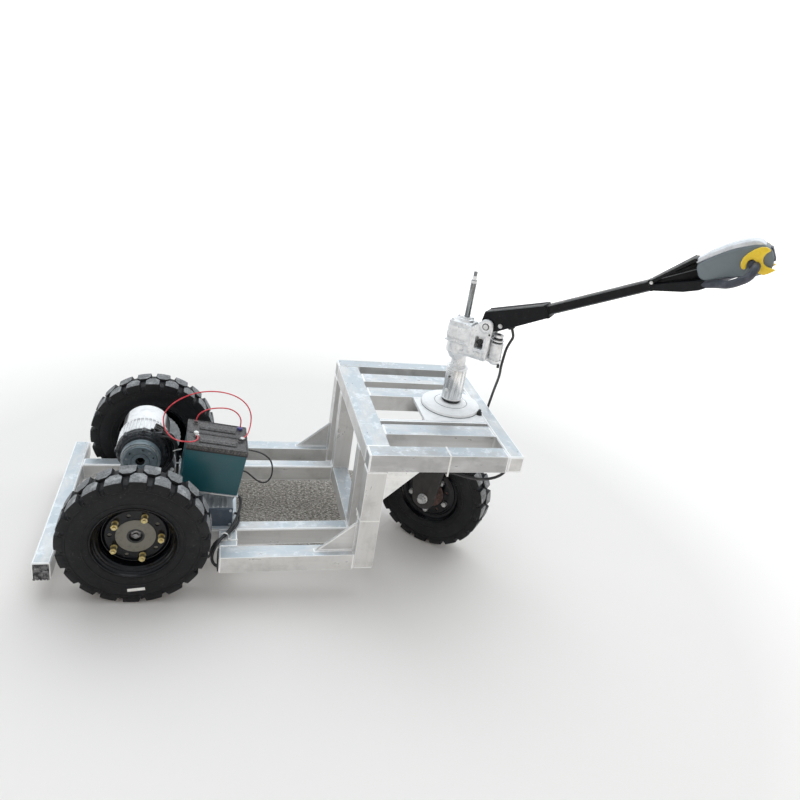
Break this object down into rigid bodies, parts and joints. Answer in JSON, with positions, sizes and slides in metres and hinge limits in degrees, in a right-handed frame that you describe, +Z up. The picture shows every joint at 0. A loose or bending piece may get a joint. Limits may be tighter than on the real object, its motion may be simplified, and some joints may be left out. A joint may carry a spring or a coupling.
{
  "type": "electric cargo tricycle",
  "caption": "Low welded tricycle platform with driven rear axle, batteries, raised front deck and a steered front wheel turned by a long walking tiller.",
  "frame": {"origin": "on the floor under the middle of the vehicle's bounding box, tiller included", "axes": "+X forward along the frame, +Y to the left, +Z up"},
  "size_m": [1.8563, 0.9336, 1.3563],
  "materials": {
    "axle_casting": "as cast",
    "axle_steel": "satin",
    "battery_case": "satin",
    "battery_lid": "rough",
    "black_cable": "satin",
    "brake_metal": "satin",
    "controller_cover": "satin",
    "controller_metal": "satin",
    "fork_paint": "satin",
    "frame_aluminium": "mill finish",
    "front_hub_casting": "rough",
    "grip_plastic": "satin",
    "head_plastic": "satin",
    "hub_casting": "satin",
    "lever_plastic": "gloss",
    "motor_paint": "satin",
    "pump_paint": "satin",
    "red_cable": "satin",
    "rim_paint": "gloss",
    "seal_rubber": "matt",
    "tiller_paint": "satin",
    "tray_metal": "brushed",
    "tyre": "matt"
  },
  "bodies": {
    "chassis": {"axle_housing": "axle_casting", "axle_saddles": "axle_casting", "battery_cradle": "tray_metal", "battery_leads": "red_cable", "battery_left": "battery_case", "battery_lids": "battery_lid", "battery_right": "battery_case", "battery_terminals": "axle_steel", "controller": "controller_metal", "controller_cover": "controller_cover", "cross_stubs": "frame_aluminium", "deck_front_beam": "frame_aluminium", "deck_rear_beam": "frame_aluminium", "deck_side_rails": "frame_aluminium", "deck_slats": "frame_aluminium", "drive_motor": "motor_paint", "equipment_tray": "tray_metal", "frame_gussets": "frame_aluminium", "front_cross_tube": "frame_aluminium", "gear_case": "axle_casting", "inner_posts": "frame_aluminium", "inner_rails": "frame_aluminium", "loop_cable": "black_cable", "motor_brake": "brake_metal", "motor_cables": "black_cable", "outer_posts": "frame_aluminium", "outer_rails": "frame_aluminium", "rear_beam": "frame_aluminium", "sensor_lead": "black_cable", "tiller_cable_rear": "black_cable", "turntable_flange": "pump_paint", "turntable_plate": "frame_aluminium"},
    "rear_wheel_left": {"rear_tyre_left": "tyre", "rear_rim_left": "rim_paint", "rear_hub_left": "hub_casting"},
    "rear_wheel_right": {"rear_tyre_right": "tyre", "rear_rim_right": "rim_paint", "rear_hub_right": "hub_casting"},
    "front_wheel": {"front_tyre": "tyre", "front_rim": "rim_paint", "front_hub": "front_hub_casting"},
    "tiller": {"tiller_base": "tiller_paint", "tiller_tube": "tiller_paint", "head_bracket": "tiller_paint", "tiller_head": "head_plastic", "handle_loops": "grip_plastic", "thumb_levers": "lever_plastic"},
    "steering": {"fork_legs": "fork_paint", "fork_crown": "fork_paint", "front_axle": "axle_steel", "steering_column": "axle_steel", "column_seal": "seal_rubber", "steering_sleeve": "pump_paint", "pump_body": "pump_paint", "pump_cylinder": "pump_paint", "ram_rod": "axle_steel", "tiller_pin": "axle_steel", "tiller_cable_middle": "black_cable", "tiller_cable_top": "black_cable"}
  },
  "joints": [
    {"name": "rear_wheel_left_spin", "type": "hinge", "parent": "chassis", "child": "rear_wheel_left", "pos_m": [-0.6622, 0.41435, 0.2075], "axis": [0, 1, 0], "continuous": true},
    {"name": "rear_wheel_right_spin", "type": "hinge", "parent": "chassis", "child": "rear_wheel_right", "pos_m": [-0.6622, -0.19965, 0.2075], "axis": [0, 1, 0], "continuous": true},
    {"name": "steer", "type": "hinge", "parent": "chassis", "child": "steering", "pos_m": [0.30876, 0.11735, 0.54916], "axis": [-0.0506, 0, 0.9987], "range_deg": [-34.2, 115.8], "deforming": ["tiller_cable_middle"]},
    {"name": "front_wheel_spin", "type": "hinge", "parent": "steering", "child": "front_wheel", "pos_m": [0.326, 0.11735, 0.20877], "axis": [0.6526, 0.757, 0.0331], "continuous": true},
    {"name": "tiller_pitch", "type": "hinge", "parent": "steering", "child": "tiller", "pos_m": [0.35511, 0.06312, 0.87603], "axis": [-0.6526, -0.757, -0.0331], "range_deg": [-24.6, 50.4], "deforming": ["tiller_cable_top"]}
  ]
}
